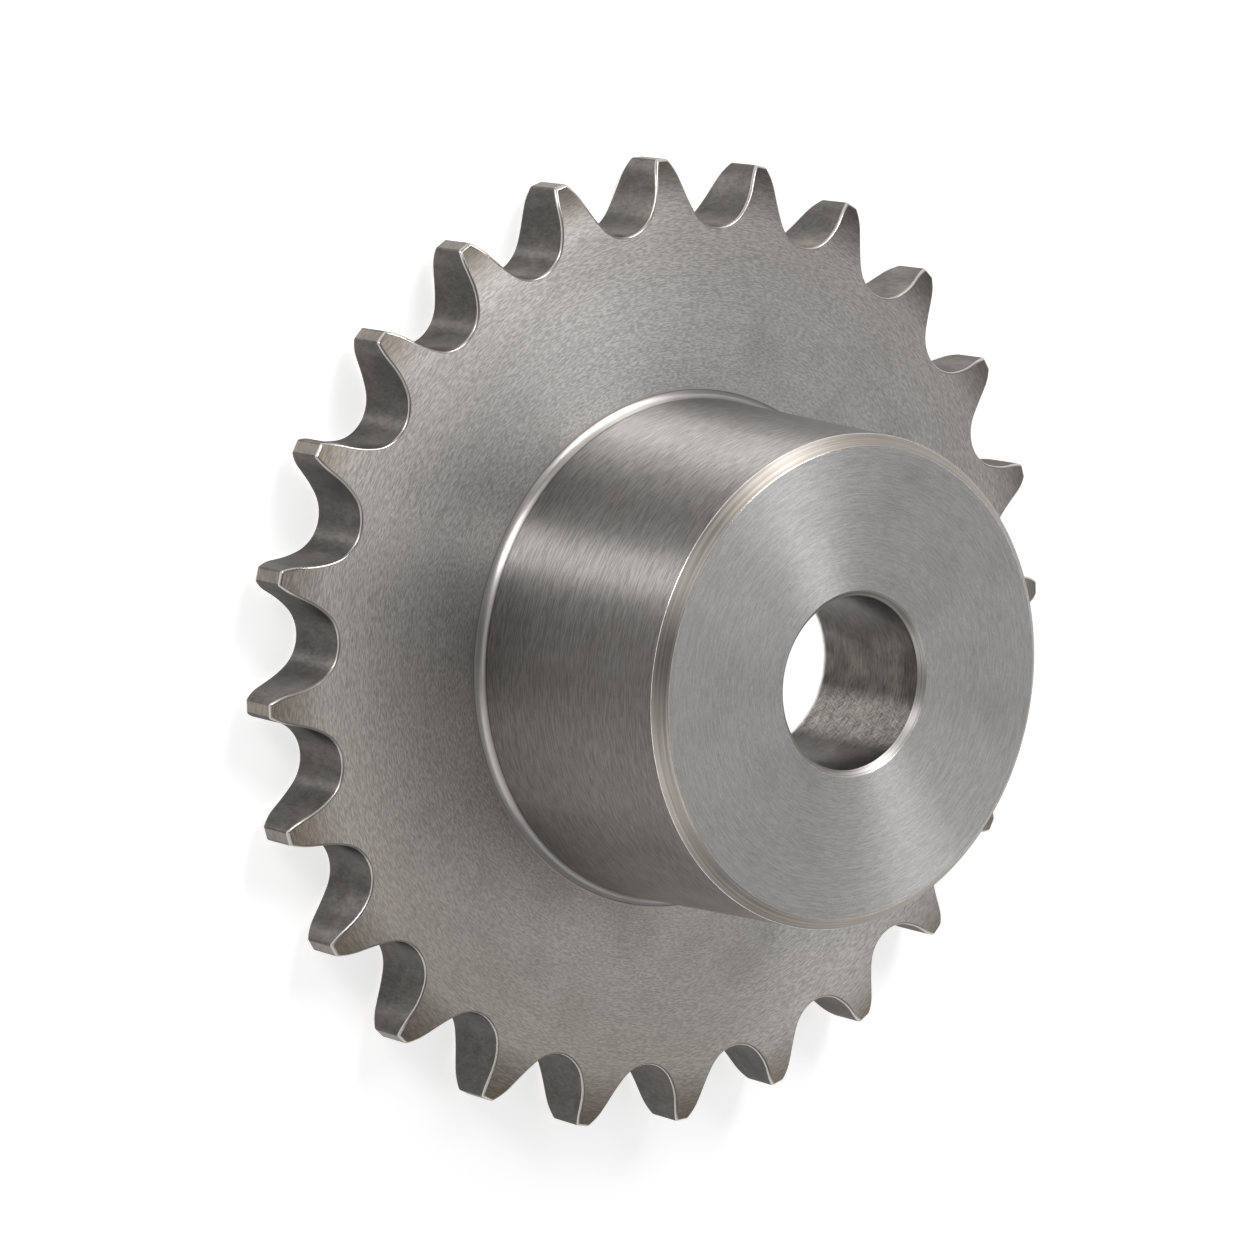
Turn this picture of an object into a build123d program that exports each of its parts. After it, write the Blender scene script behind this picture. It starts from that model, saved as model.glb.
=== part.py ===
from build123d import *
import math
import os

# Chain that the sprocket drives, in millimetres
pitch = 19.05
roller_diameter = 11.91
inner_link_width = 12.70

# Teeth
tooth_count = 24
tip_land_width = 2.2
side_relief_depth = 2.6
side_relief_radius = 19.0
tooth_edge_break = 0.35

# Hub, on one side of the toothed plate
overall_length = 54.0
hub_end_diameter = 76.6
hub_draft_angle = 2.3
hub_root_fillet = 1.7
hub_end_chamfer = 1.8

# Bore, plain and right through
bore_diameter = 27.0
bore_chamfer = 1.0

# Standard roller-chain tooth form: angles in degrees, distances from a seated roller's centre as
# shares of its diameter
seat_to_roller = 1.005
seat_clearance = 0.076
seat_angle = 35 + 60 / tooth_count
working_angle = 18 - 56 / tooth_count
working_centre_share = 0.8
topping_centre_share = 1.4

# Standard tooth width for one strand of chain
width_share = 0.93
width_clearance = 0.15

# Sizes that follow from the ones above
half_step = 180 / tooth_count
pitch_radius = pitch / 2 / math.sin(math.radians(half_step))
seat_radius = (seat_to_roller * roller_diameter + seat_clearance) / 2
root_radius = pitch_radius - seat_radius
tooth_width = width_share * inner_link_width - width_clearance
bore_radius = bore_diameter / 2

# The gap cutter runs this far past what it cuts
cutter_overrun = 0.5


def at_angle(angle):
    """Unit vector at an angle, in degrees, from the pitch line of the gap on +X, outwards positive."""
    return Vector(math.sin(math.radians(angle)), math.cos(math.radians(angle)))


# Centres and radii of the gap's arcs on its +Y side. A roller seats in the gap on +X. The working
# arc carries on from the seat, a short flat joins it to the topping arc, and all are tangent
roller_centre = Vector(pitch_radius, 0)
flat_normal = at_angle(working_angle - seat_angle)
working_centre = roller_centre - at_angle(-seat_angle) * (working_centre_share * roller_diameter)
working_radius = seat_radius + working_centre_share * roller_diameter
topping_centre = roller_centre + at_angle(-half_step) * (topping_centre_share * roller_diameter)
flat_start = working_centre + flat_normal * working_radius
topping_radius = (topping_centre - flat_start).dot(flat_normal)
flat_end = topping_centre - flat_normal * topping_radius

# The outside circle is where the two topping arcs of a tooth leave its land between them
tooth_axis = Vector(math.cos(math.radians(half_step)), math.sin(math.radians(half_step)))
topping_reach = topping_centre.dot(tooth_axis)
topping_offset = topping_centre.cross(tooth_axis).length
tip_reach = topping_reach + math.sqrt(topping_radius**2 - (topping_offset + tip_land_width / 2) ** 2)
tip_radius = math.hypot(tip_reach, tip_land_width / 2)

# Radius at which each side face starts to curve back towards the tips
relief_start = tip_radius - math.sqrt(2 * side_relief_radius * side_relief_depth - side_relief_depth**2)


def topping_arc_angle(outer_radius):
    """Degrees of the topping arc from the end of the flat to a circle about the bore."""
    centre_distance = topping_centre.length
    inside = centre_distance**2 + topping_radius**2 - outer_radius**2
    to_circle = math.degrees(math.acos(inside / (2 * centre_distance * topping_radius)))
    to_flat = topping_centre.get_angle(flat_normal)
    return to_circle - to_flat


def tooth_gap():
    """Outline of the gap between two teeth, centred on +X."""
    cutter_radius = tip_radius + cutter_overrun
    seat = JernArc((root_radius, 0), (0, 1), seat_radius, seat_angle - 90)
    working = JernArc(seat @ 1, seat % 1, working_radius, -working_angle)
    flat = Line(working @ 1, flat_end)
    topping = JernArc(flat @ 1, flat % 1, topping_radius, topping_arc_angle(cutter_radius))
    flank = [seat, working, flat, topping]
    mouth = ThreePointArc(topping @ 1, (cutter_radius, 0), mirror(topping, about=Plane.XZ) @ 1)
    return make_face([*flank, mouth, *[mirror(edge, about=Plane.XZ) for edge in flank]])


def hub_radius(height):
    """Radius of the drafted hub at a height above the back face."""
    return hub_end_diameter / 2 + (overall_length - height) * math.tan(math.radians(hub_draft_angle))


def turned_blank():
    """Plate, hub and bore in one piece, as they leave the lathe."""
    front_land = tooth_width - side_relief_depth
    hub_foot = (hub_radius(tooth_width), tooth_width)
    hub_end = (hub_end_diameter / 2, overall_length)
    with BuildSketch(Plane.XZ) as section:
        with BuildLine():
            Line((bore_radius, 0), (relief_start, 0))
            TangentArc((relief_start, 0), (tip_radius, side_relief_depth), tangent=(1, 0))
            Line((tip_radius, side_relief_depth), (tip_radius, front_land))
            TangentArc((relief_start, tooth_width), (tip_radius, front_land), tangent=(1, 0))
            Polyline((relief_start, tooth_width), hub_foot, hub_end, (bore_radius, overall_length))
            Line((bore_radius, overall_length), (bore_radius, 0))
        make_face()
        corners = section.vertices()
        fillet(corners.sort_by_distance((hub_foot[0], 0, hub_foot[1]))[0], hub_root_fillet)
        corners = section.vertices()
        chamfer(corners.sort_by_distance((hub_end[0], 0, hub_end[1]))[0], hub_end_chamfer)
        for end in (0, overall_length):
            corners = section.vertices()
            chamfer(corners.sort_by_distance((bore_radius, 0, end))[0], bore_chamfer)
    return revolve(section.sketch, Axis.Z)


def lies_at(edge, radius):
    """Whether an edge keeps one radius about the bore."""
    points = (edge @ 0, edge @ 0.5, edge @ 1)
    return all(abs(math.hypot(point.X, point.Y) - radius) < 0.001 for point in points)


def sharp_tooth_edges(toothed):
    """Edges of the teeth that a file or brush takes the sharpness off."""
    sharp = []
    for edge in toothed.edges():
        middle = edge @ 0.5
        beyond_root = math.hypot(middle.X, middle.Y) > root_radius - 0.001
        along_bore = abs((edge % 0.5).Z) > 0.999
        if beyond_root and not lies_at(edge, relief_start) and (not along_bore or lies_at(edge, tip_radius)):
            sharp.append(edge)
    return sharp


def sprocket():
    """The whole sprocket: the blank with its gaps cut and its tooth edges broken."""
    cutter = Pos(0, 0, -cutter_overrun) * extrude(tooth_gap(), tooth_width + 2 * cutter_overrun)
    toothed = turned_blank() - PolarLocations(0, tooth_count) * cutter
    return chamfer(sharp_tooth_edges(toothed), tooth_edge_break)


part = sprocket()
print(f"pitch circle {2 * pitch_radius:.2f}, root {2 * root_radius:.2f}, outside {2 * tip_radius:.2f}")
print(f"tooth width {tooth_width:.2f}, side relief from {2 * relief_start:.2f}, volume {part.volume:.0f}")

os.makedirs("parts", exist_ok=True)
export_step(part, "parts/sprocket.step")
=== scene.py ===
"""A roller-chain sprocket of bare machined steel, dressed and lit on a pale floor."""

import logging
import math
from dataclasses import dataclass, field
from enum import Enum

import bpy
import numpy as np
from mathutils import Matrix, Vector


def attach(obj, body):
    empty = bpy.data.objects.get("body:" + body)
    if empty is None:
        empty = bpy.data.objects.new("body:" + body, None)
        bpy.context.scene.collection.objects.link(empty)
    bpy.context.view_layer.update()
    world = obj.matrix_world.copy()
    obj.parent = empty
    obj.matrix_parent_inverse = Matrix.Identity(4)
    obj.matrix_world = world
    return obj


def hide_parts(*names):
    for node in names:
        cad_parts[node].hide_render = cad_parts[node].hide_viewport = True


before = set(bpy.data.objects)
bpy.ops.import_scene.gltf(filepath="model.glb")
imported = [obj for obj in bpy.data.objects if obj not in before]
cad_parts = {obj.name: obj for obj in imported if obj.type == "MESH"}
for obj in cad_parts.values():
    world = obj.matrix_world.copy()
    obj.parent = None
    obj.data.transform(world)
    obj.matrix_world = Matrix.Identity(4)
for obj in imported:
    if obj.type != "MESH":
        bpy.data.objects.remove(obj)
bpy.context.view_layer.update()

log = logging.getLogger("sprocket")

Colour = tuple[float, float, float]
Socket = bpy.types.NodeSocket
Value = Socket | float | tuple[float, ...]

MM = 0.001
NODE = "sprocket"
WHITE: Colour = (1.0, 1.0, 1.0)

# The standard tooth form. Distances from a seated roller's centre are shares of its diameter, and
# clearances are in millimetres
SEAT_TO_ROLLER = 1.005
SEAT_CLEARANCE = 0.076
WORKING_CENTRE_SHARE = 0.8
TOPPING_CENTRE_SHARE = 1.4

# The standard width of a tooth, as a share of the chain's inner width less a clearance
WIDTH_SHARE = 0.93
WIDTH_CLEARANCE = 0.15

# Width of the band that joins the turned rings to the toothed ones, in millimetres
JOINING_BAND = 1.5

# A quarter turn, so that reflections stretch across the tool marks
ACROSS = 0.25

# Octaves of the noise that patches come from, and how strong the finer octaves of marks are
PATCH_DETAIL = 3.0
MARK_ROUGHNESS = 0.6

# Ranges of the noise that the patches, the stain in them and the marks' roughness are spread over
PATCH_RANGE = (0.3, 0.7)
STAIN_RANGE = (0.5, 0.8)
STREAK_RANGE = (0.2, 0.8)

# How much stain goes with a mottle of 1
STAIN_PER_MOTTLE = 0.5 / 0.06


class Zone(Enum):
    """The surfaces of the sprocket that each have a finish of their own."""

    PLATE_FACE = "plate_face"
    TOOTH_EDGE = "tooth_edge"
    GAP_WALL = "gap_wall"
    TIP_LAND = "tip_land"
    FOOT_FILLET = "foot_fillet"
    HUB_SIDE = "hub_side"
    HUB_CHAMFER = "hub_chamfer"
    TURNED_EDGE = "turned_edge"
    END_FACE = "end_face"
    BORE_CHAMFER = "bore_chamfer"
    BORE_WALL = "bore_wall"
    BACK_FACE = "back_face"


class MarkLay(Enum):
    """Which way a finish's tool marks are spaced, as shares of radius and height."""

    FACE = (1.0, 0.0)
    SIDE = (0.0, 1.0)
    OUTER_SLOPE = (0.7, -0.7)
    BORE_SLOPE = (0.7, 0.7)


@dataclass(frozen=True)
class Ring:
    """One closed loop of points round the bore, with the surface's normals there.

    Attributes:
        points: Points in millimetres, one row each.
        normals: Unit normals, one row each.
        zone: The zone of the band from this ring to the next.
        land_zone: The zone of the same band where it crosses a tooth's tip land, if it differs.
    """

    points: np.ndarray
    normals: np.ndarray
    zone: Zone
    land_zone: Zone | None = None


def unit(vectors: np.ndarray) -> np.ndarray:
    """Vectors scaled to length one."""
    return vectors / np.linalg.norm(vectors, axis=-1, keepdims=True)


def direction(angle: float) -> np.ndarray:
    """Unit vector at an angle in radians from +X."""
    return np.array([math.cos(angle), math.sin(angle)])


def off_pitch_line(angle: float) -> np.ndarray:
    """Unit vector at an angle in radians from the pitch line of the gap on +X, outwards positive."""
    return np.array([math.sin(angle), math.cos(angle)])


def bearing(vector: np.ndarray) -> float:
    """Angle of a vector from +X, in radians."""
    return math.atan2(vector[1], vector[0])


def cross(first: np.ndarray, second: np.ndarray) -> float:
    """Cross product of two vectors of one plane."""
    return first[0] * second[1] - first[1] * second[0]


def swept(start: float, end: float, steps: int) -> np.ndarray:
    """Angles of an arc's points, the shorter way round.

    Args:
        start: The first angle in radians.
        end: The angle where the arc ends.
        steps: How many steps the arc has.

    Returns:
        The angles, without the last.
    """
    turn = (end - start + math.pi) % (2 * math.pi) - math.pi
    return start + np.linspace(0, turn, steps + 1)[:-1]


@dataclass(frozen=True)
class ChainTeeth:
    """The standard tooth form for a roller chain, with sizes in millimetres.

    The gap on +X is the pattern, and the form is mirrored and repeated from it.

    Attributes:
        pitch: The chain's pitch.
        roller_diameter: Diameter of the chain's rollers.
        inner_link_width: Width between the chain's inner plates.
        count: How many teeth there are.
        tip_land_width: Width of the land on a tooth's tip.
        relief_depth: How far each side lies back at the tips.
        relief_radius: Radius of the arc in which it does so.
        edge_rounding: Rounding between the sides and the walls.
        corner_rounding: Rounding of a land's two corners.
        land_wear: How much the lands have worn down.
        seat_steps: Steps of half the seat.
        working_steps: Steps of a working arc.
        topping_steps: Steps of a topping arc.
        corner_steps: Steps of a land's corner.
        land_steps: Steps of half a land.
    """

    pitch: float = 19.05
    roller_diameter: float = 11.91
    inner_link_width: float = 12.70
    count: int = 24
    tip_land_width: float = 2.2
    relief_depth: float = 2.6
    relief_radius: float = 19.0
    edge_rounding: float = 0.36
    corner_rounding: float = 0.44
    land_wear: float = 0.02
    seat_steps: int = 10
    working_steps: int = 4
    topping_steps: int = 6
    corner_steps: int = 4
    land_steps: int = 3

    @property
    def half_step(self) -> float:
        """Half the angle from tooth to tooth, in radians."""
        return math.pi / self.count

    @property
    def seat_angle(self) -> float:
        """Angle that the seat takes on each side of the gap, in radians."""
        return math.radians(35 + 60 / self.count)

    @property
    def working_angle(self) -> float:
        """Angle that a working arc takes, in radians."""
        return math.radians(18 - 56 / self.count)

    @property
    def roller_centre(self) -> np.ndarray:
        """Centre of the roller that is seated in the gap on +X."""
        return np.array([self.pitch / 2 / math.sin(self.half_step), 0.0])

    @property
    def seat_radius(self) -> float:
        """Radius of the seat that a roller lies in."""
        return (SEAT_TO_ROLLER * self.roller_diameter + SEAT_CLEARANCE) / 2

    @property
    def width(self) -> float:
        """Thickness of the toothed plate."""
        return WIDTH_SHARE * self.inner_link_width - WIDTH_CLEARANCE

    def tip_radius(self) -> float:
        """Radius of the outside circle.

        Returns:
            The radius that leaves each tooth its land.
        """
        centre, radius, _ = self._topping()
        tooth = direction(self.half_step)
        aside = abs(cross(centre, tooth)) + self.tip_land_width / 2
        reach = centre @ tooth + math.sqrt(radius**2 - aside**2)
        return math.hypot(reach, self.tip_land_width / 2) - self.land_wear

    def _working(self) -> tuple[np.ndarray, float, float, float]:
        """The working arc.

        Returns:
            Its centre, its radius, and its first and last angle from the pitch line.
        """
        share = WORKING_CENTRE_SHARE * self.roller_diameter
        centre = self.roller_centre - off_pitch_line(-self.seat_angle) * share
        return centre, self.seat_radius + share, -self.seat_angle, self.working_angle - self.seat_angle

    def _topping(self) -> tuple[np.ndarray, float, np.ndarray]:
        """The topping arc.

        Returns:
            Its centre, its radius, and the point where it takes over from the flat.
        """
        working_centre, working_radius, _, last = self._working()
        normal = off_pitch_line(last)
        share = TOPPING_CENTRE_SHARE * self.roller_diameter
        centre = self.roller_centre + off_pitch_line(-self.half_step) * share
        radius = float((centre - (working_centre + normal * working_radius)) @ normal)
        return centre, radius, centre - normal * radius

    def _land_corner(self, tip: float) -> np.ndarray:
        """Centre of the small arc that rounds a land's corner.

        Args:
            tip: Radius of the outside circle.

        Returns:
            The centre, which lies as far inside the topping arc as inside the outside circle.
        """
        topping_centre, topping_radius, _ = self._topping()
        from_topping = topping_radius - self.corner_rounding
        from_bore = tip - self.corner_rounding
        distance = np.linalg.norm(topping_centre)
        along = (distance**2 + from_bore**2 - from_topping**2) / (2 * distance)
        aside = math.sqrt(from_bore**2 - along**2)
        way = topping_centre / distance
        left = np.array([-way[1], way[0]])
        both = (way * along + left * aside, way * along - left * aside)
        tooth = direction(self.half_step)
        return min(both, key=lambda centre: abs(cross(centre, tooth)))

    def half_gap(self) -> tuple[np.ndarray, np.ndarray, np.ndarray]:
        """Outline from the bottom of the gap on +X to the middle of the next tooth.

        Returns:
            The points, the outward normals, and whether the step after each point is on the land.
        """
        points: list[np.ndarray] = []
        normals: list[np.ndarray] = []
        on_land: list[bool] = []

        def put(point: np.ndarray, normal: np.ndarray, land: bool = False) -> None:
            """Adds one point of the outline.

            Args:
                point: The point.
                normal: The outward normal there, of any length.
                land: Whether the step after it is on the land.
            """
            points.append(point)
            normals.append(unit(normal))
            on_land.append(land)

        working_centre, working_radius, first, last = self._working()
        for angle in np.linspace(-math.pi / 2, first, self.seat_steps + 1)[:-1]:
            way = off_pitch_line(angle)
            put(self.roller_centre + self.seat_radius * way, -way)
        for angle in np.linspace(first, last, self.working_steps + 1):
            way = off_pitch_line(angle)
            put(working_centre + working_radius * way, -way)

        topping_centre, topping_radius, flat_end = self._topping()
        tip = self.tip_radius()
        corner = self._land_corner(tip)
        from_flat = bearing(flat_end - topping_centre)
        to_corner = bearing(corner - topping_centre)
        to_land = bearing(corner)
        for angle in swept(from_flat, to_corner, self.topping_steps):
            put(topping_centre + topping_radius * direction(angle), direction(angle))
        for angle in swept(to_corner, to_land, self.corner_steps):
            put(corner + self.corner_rounding * direction(angle), direction(angle))
        for angle in np.linspace(to_land, self.half_step, self.land_steps + 1):
            put(tip * direction(angle), direction(angle), True)
        return np.array(points), np.array(normals), np.array(on_land)

    def outline(self) -> tuple[np.ndarray, np.ndarray, np.ndarray]:
        """The whole toothed outline, anticlockwise from the bottom of the gap on +X.

        Returns:
            The points, the outward normals, and whether the step after each point is on a land.
        """
        points, normals, on_land = self.half_gap()
        flip = np.array([1.0, -1.0])
        next_gap = self._turned(1)
        tooth_points = np.vstack([points[:-1], (points * flip)[:0:-1] @ next_gap])
        tooth_normals = np.vstack([normals[:-1], (normals * flip)[:0:-1] @ next_gap])
        land_steps = np.concatenate([on_land[:-1], on_land[:-1][::-1]])
        turns = [self._turned(k) for k in range(self.count)]
        whole = np.vstack([tooth_points @ turn for turn in turns])
        whole_normals = np.vstack([tooth_normals @ turn for turn in turns])
        return whole, whole_normals, np.tile(land_steps, self.count)

    def _turned(self, teeth: int) -> np.ndarray:
        """Matrix that turns rows of points of the plane by a number of teeth."""
        angle = 2 * self.half_step * teeth
        return np.array([[math.cos(angle), math.sin(angle)], [-math.sin(angle), math.cos(angle)]])


@dataclass(frozen=True)
class ToothedPlate:
    """The plate that carries the teeth, from its plain middle out to the tips and back.

    Attributes:
        teeth: The teeth on it.
        plain_radius: Radius of the innermost ring, whose points are evenly spaced.
        blend_radius: Radius of the ring whose points lie in line with the outline's.
        face_steps: Steps from there to the rim.
        edge_steps: Steps of the edge rounding.
        wall_steps: Steps of the wall between the two sides.
    """

    teeth: ChainTeeth
    plain_radius: float = 62.0
    blend_radius: float = 65.4
    face_steps: int = 9
    edge_steps: int = 5
    wall_steps: int = 4

    def face_depth(self, radius: np.ndarray) -> np.ndarray:
        """How far the side relief lies under the plate's face.

        Args:
            radius: Distances from the bore's axis.

        Returns:
            One depth for each.
        """
        depth, arc = self.teeth.relief_depth, self.teeth.relief_radius
        start = self.teeth.tip_radius() - math.sqrt(2 * arc * depth - depth**2)
        beyond = np.clip(radius - start, 0, None)
        return arc - np.sqrt(arc**2 - beyond**2)

    def face_normals(self, points: np.ndarray, side: int) -> np.ndarray:
        """Normals of a side face.

        Args:
            points: Points on the face.
            side: 1 for the front face, -1 for the back.

        Returns:
            One unit normal for each point.
        """
        radius = np.linalg.norm(points[:, :2], axis=1)
        step = 0.01
        slope = (self.face_depth(radius + step) - self.face_depth(radius - step)) / (2 * step)
        out = points[:, :2] / radius[:, None] * slope[:, None]
        return unit(np.column_stack([out, np.full(len(points), float(side))]))

    def _raised(self, flat: np.ndarray, depth: np.ndarray, side: int) -> np.ndarray:
        """Points of the plane put at a depth under a side face."""
        return np.column_stack([flat, self.teeth.width - depth if side > 0 else depth])

    def _face_ring(self, flat: np.ndarray, side: int, zone: Zone) -> Ring:
        """A ring that lies on a side face."""
        points = self._raised(flat, self.face_depth(np.linalg.norm(flat, axis=1)), side)
        return Ring(points, self.face_normals(points, side), zone)

    def _face_rings(self, side: int, zone: Zone) -> list[Ring]:
        """Rings of a side face, from its plain middle out to the edge rounding.

        Args:
            side: 1 for the front face, -1 for the back.
            zone: The face's zone.

        Returns:
            The rings in order.
        """
        outline, normals, _ = self.teeth.outline()
        rim = outline - normals * self.teeth.edge_rounding
        rim_angle = np.unwrap(np.arctan2(rim[:, 1], rim[:, 0]))
        rim_radius = np.linalg.norm(rim, axis=1)
        even = rim_angle[0] + np.arange(len(rim)) * 2 * math.pi / len(rim)
        rings = []
        for share in (0.0, 0.5):
            angle = even + (rim_angle - even) * share
            radius = self.plain_radius + (self.blend_radius - self.plain_radius) * share
            flat = np.column_stack([np.cos(angle), np.sin(angle)]) * radius
            rings.append(self._face_ring(flat, side, zone))
        spokes = np.column_stack([np.cos(rim_angle), np.sin(rim_angle)])
        for share in np.linspace(0, 1, self.face_steps + 1):
            radius = self.blend_radius + (rim_radius - self.blend_radius) * share
            rings.append(self._face_ring(spokes * radius[:, None], side, zone))
        return rings

    def _edge_rings(self, side: int) -> list[Ring]:
        """Rings of the rounded edge, from the side face down to the wall.

        Args:
            side: 1 for the front face, -1 for the back.

        Returns:
            The rings in order.
        """
        outline, normals, _ = self.teeth.outline()
        walls = np.column_stack([normals, np.zeros(len(normals))])
        rounding = self.teeth.edge_rounding
        rings = []
        for share in np.linspace(0, 1, self.edge_steps + 1):
            lean = math.pi / 2 * (1 - share)
            flat = outline - normals * rounding * (1 - math.cos(lean))
            depth = self.face_depth(np.linalg.norm(flat, axis=1)) + rounding * (1 - math.sin(lean))
            points = self._raised(flat, depth, side)
            mixed = walls * math.cos(lean) + self.face_normals(points, side) * math.sin(lean)
            rings.append(Ring(points, unit(mixed), Zone.TOOTH_EDGE))
        return rings

    def rings(self) -> list[Ring]:
        """Rings of the plate.

        Returns:
            The rings from the plain middle of the front face, over the teeth, to that of the back face.
        """
        front = self._face_rings(1, Zone.PLATE_FACE)
        front_edge = self._edge_rings(1)
        back_edge = self._edge_rings(-1)[::-1]
        back = self._face_rings(-1, Zone.BACK_FACE)[::-1]
        top, bottom = front_edge[-1], back_edge[0]
        wall = []
        for share in np.linspace(0, 1, self.wall_steps + 1)[:-1]:
            points = top.points * (1 - share) + bottom.points * share
            wall.append(Ring(points, top.normals, Zone.GAP_WALL, Zone.TIP_LAND))
        return front[:-1] + front_edge[:-1] + wall + back_edge[:-1] + back


@dataclass(frozen=True)
class Corner:
    """A corner of the turned section.

    Attributes:
        radius: Distance from the bore's axis.
        height: Height above the back face.
        rounding: Radius that the corner is rounded to, or 0.
        steps: Steps of the rounding.
        zone: The zone of the straight run after the corner.
        round_zone: The zone of the rounding.
    """

    radius: float
    height: float
    rounding: float
    steps: int
    zone: Zone
    round_zone: Zone


@dataclass(frozen=True)
class TurnedHub:
    """Everything that is plainly turned: hub, bore and both chamfers, with sizes in millimetres.

    Attributes:
        teeth: The teeth of the plate that the hub stands on.
        plain_radius: Radius of the outermost turned ring on each face of the plate.
        length: Height of the hub's end above the back face.
        end_diameter: Diameter of the hub at its end.
        draft: Slope of the hub's side, in degrees.
        foot_fillet: Radius of the fillet at the hub's foot.
        end_chamfer: Chamfer at the hub's end.
        bore: Diameter of the bore.
        bore_chamfer: Chamfer at both ends of the bore.
        edge_rounding: Rounding of the hub's edges.
        bore_rounding: Rounding of the bore's edges.
        fillet_steps: Steps of the fillet.
        edge_steps: Steps of each other rounding.
        longest_run: Longest step along a straight part of the section.
        segments: Steps round the bore.
    """

    teeth: ChainTeeth
    plain_radius: float
    length: float = 54.0
    end_diameter: float = 76.6
    draft: float = 2.3
    foot_fillet: float = 1.7
    end_chamfer: float = 1.8
    bore: float = 27.0
    bore_chamfer: float = 1.0
    edge_rounding: float = 0.16
    bore_rounding: float = 0.096
    fillet_steps: int = 10
    edge_steps: int = 3
    longest_run: float = 3.5
    segments: int = 360

    def radius_at(self, height: float) -> float:
        """Radius of the drafted side at a height."""
        return self.end_diameter / 2 + (self.length - height) * math.tan(math.radians(self.draft))

    def corners(self) -> list[Corner]:
        """Corners of the turned section.

        Returns:
            The corners, from the plate's front face over the hub and down the bore.
        """
        width, bore, steps = self.teeth.width, self.bore / 2, self.edge_steps
        edge, bore_edge = self.edge_rounding, self.bore_rounding
        foot, fillet = self.radius_at(width), self.foot_fillet
        shoulder, mouth = self.length - self.end_chamfer, self.length - self.bore_chamfer
        end_rim, bore_rim = self.end_diameter / 2 - self.end_chamfer, bore + self.bore_chamfer
        return [
            Corner(self.plain_radius, width, 0, 0, Zone.PLATE_FACE, Zone.PLATE_FACE),
            Corner(foot, width, fillet, self.fillet_steps, Zone.HUB_SIDE, Zone.FOOT_FILLET),
            Corner(self.radius_at(shoulder), shoulder, edge, steps, Zone.HUB_CHAMFER, Zone.TURNED_EDGE),
            Corner(end_rim, self.length, edge, steps, Zone.END_FACE, Zone.TURNED_EDGE),
            Corner(bore_rim, self.length, bore_edge, steps, Zone.BORE_CHAMFER, Zone.TURNED_EDGE),
            Corner(bore, mouth, bore_edge, steps, Zone.BORE_WALL, Zone.BORE_CHAMFER),
            Corner(bore, self.bore_chamfer, bore_edge, steps, Zone.BORE_CHAMFER, Zone.BORE_CHAMFER),
            Corner(bore_rim, 0, bore_edge, steps, Zone.BACK_FACE, Zone.BACK_FACE),
            Corner(self.plain_radius, 0, 0, 0, Zone.BACK_FACE, Zone.BACK_FACE),
        ]

    def section(self) -> list[tuple[float, float, float, float, Zone]]:
        """Points of the turned section.

        Returns:
            For each point its radius, its height, the two parts of its normal, and the zone after it.
        """
        corners = self.corners()
        places = [np.array([corner.radius, corner.height]) for corner in corners]
        ways = [unit(after - before) for before, after in zip(places, places[1:])]
        made: list[tuple[float, float, float, float, Zone]] = []
        leave = places[0]
        for i, way in enumerate(ways):
            normal = np.array([way[1], -way[0]])
            corner, arrive, rounded = corners[i + 1], places[i + 1], []
            next_leave = arrive
            if corner.rounding:
                turn = math.atan2(cross(way, ways[i + 1]), float(way @ ways[i + 1]))
                back = corner.rounding * math.tan(abs(turn) / 2)
                arrive, next_leave = arrive - way * back, arrive + ways[i + 1] * back
                centre = arrive - normal * math.copysign(corner.rounding, turn)
                for angle in np.linspace(0, turn, corner.steps + 1)[:-1]:
                    spoke = self._spun(arrive - centre, angle)
                    rounded.append((*(centre + spoke), *self._spun(normal, angle), corner.round_zone))
            runs = max(1, math.ceil(np.linalg.norm(arrive - leave) / self.longest_run))
            for share in np.linspace(0, 1, runs + 1)[:-1]:
                made.append((*(leave + (arrive - leave) * share), *normal, corners[i].zone))
            made.extend(rounded)
            leave = next_leave
        return made

    @staticmethod
    def _spun(vector: np.ndarray, angle: float) -> np.ndarray:
        """A vector of the section's plane, turned by an angle in radians."""
        cos, sin = math.cos(angle), math.sin(angle)
        return np.array([vector[0] * cos - vector[1] * sin, vector[0] * sin + vector[1] * cos])

    def rings(self, start_angle: float) -> list[Ring]:
        """Rings of the turned surfaces, from the plate's front face to its back face.

        Args:
            start_angle: Angle of each ring's first point, in radians.

        Returns:
            The rings in order.
        """
        last = (self.plain_radius, 0.0, 0.0, -1.0, Zone.BACK_FACE)
        angle = start_angle + np.arange(self.segments) * 2 * math.pi / self.segments
        cos, sin = np.cos(angle), np.sin(angle)
        made = []
        for radius, height, out, up, zone in [*self.section(), last]:
            points = np.column_stack([cos * radius, sin * radius, np.full(len(angle), height)])
            normals = np.column_stack([cos * out, sin * out, np.full(len(angle), up)])
            made.append(Ring(points, normals, zone))
        return made


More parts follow.
